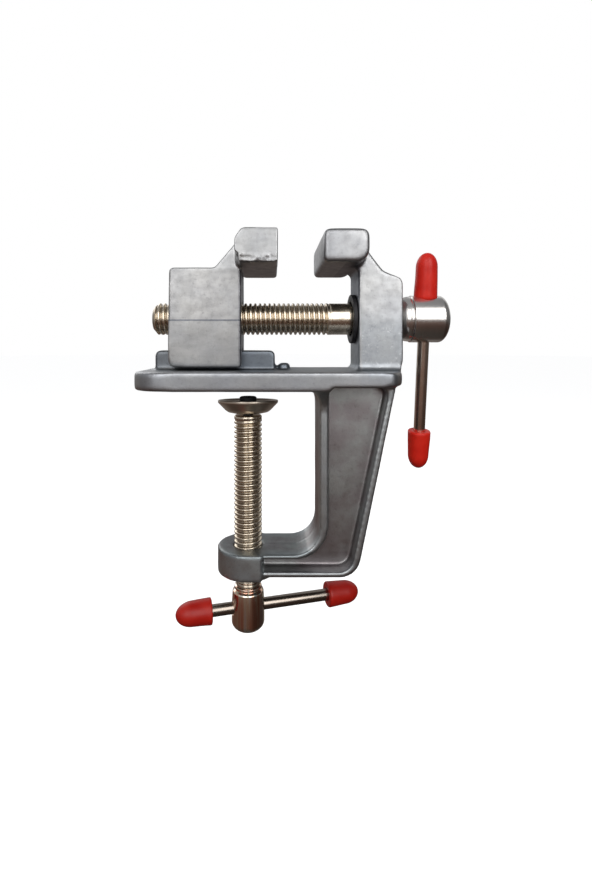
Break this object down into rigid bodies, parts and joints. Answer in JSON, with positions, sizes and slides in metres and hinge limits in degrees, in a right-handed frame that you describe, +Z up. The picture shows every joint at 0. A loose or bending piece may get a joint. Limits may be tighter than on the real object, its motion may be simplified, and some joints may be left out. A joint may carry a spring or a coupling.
{
  "type": "bench vise",
  "caption": "Small cast aluminium table-edge vise: a sliding jaw and a fixed jaw closed by a crank screw, over a C frame with a clamp screw and pad.",
  "frame": {"origin": "on the clamp screw's axis, in the plane of the base's underside that lies on the table", "axes": "+X from the movable jaw to the crank, along the main screw; +Y to the back; +Z up, along the clamp screw"},
  "size_m": [0.0965, 0.034, 0.1233],
  "materials": {
    "casting": "satin die casting",
    "nickel": "bright nickel plate",
    "black_steel": "black oxide",
    "red_vinyl": "dipped vinyl, satin"
  },
  "bodies": {
    "frame": {"frame_casting": "casting"},
    "movable_jaw": {"movable_jaw": "casting"},
    "main_screw": {"main_screw": "nickel", "screw_retaining_ring": "black_steel"},
    "main_handle": {"main_handle_bar": "nickel", "main_handle_cap_upper": "red_vinyl", "main_handle_cap_lower": "red_vinyl"},
    "clamp_pad": {"clamp_pad": "nickel"},
    "clamp_screw": {"clamp_screw": "nickel", "clamp_pad_screw": "black_steel"},
    "clamp_handle": {"clamp_handle_bar": "nickel", "clamp_handle_cap_left": "red_vinyl", "clamp_handle_cap_right": "red_vinyl"}
  },
  "joints": [
    {"name": "main_screw_turn", "type": "hinge", "parent": "frame", "child": "main_screw", "pos_m": [0.05, 0, 0.0215], "axis": [-1, 0, 0], "range_deg": [-4080, 3084]},
    {"name": "jaw_slide", "type": "slide", "parent": "frame", "child": "movable_jaw", "axis": [1, 0, 0], "range_m": [-0.01701, 0.01286]},
    {"name": "main_handle_slide", "type": "slide", "parent": "main_screw", "child": "main_handle", "axis": [0, -0.1444, 0.9895], "range_m": [0, 0.0292]},
    {"name": "clamp_pad_lift", "type": "slide", "parent": "frame", "child": "clamp_pad", "axis": [0, 0, 1], "range_m": [-0.04001, 0.00286]},
    {"name": "clamp_screw_turn", "type": "hinge", "parent": "clamp_pad", "child": "clamp_screw", "pos_m": [0, 0, -0.03], "axis": [0, 0, 1], "range_deg": [-9600, 684]},
    {"name": "clamp_handle_slide", "type": "slide", "parent": "clamp_screw", "child": "clamp_handle", "axis": [0.9673, 0.2538, 0], "range_m": [-0.0211, 0.0061]}
  ],
  "couplings": [
    {"joint": "jaw_slide", "follows": "main_screw_turn", "m_per_rad": 0.00023873},
    {"joint": "clamp_pad_lift", "follows": "clamp_screw_turn", "m_per_rad": 0.00023873}
  ]
}
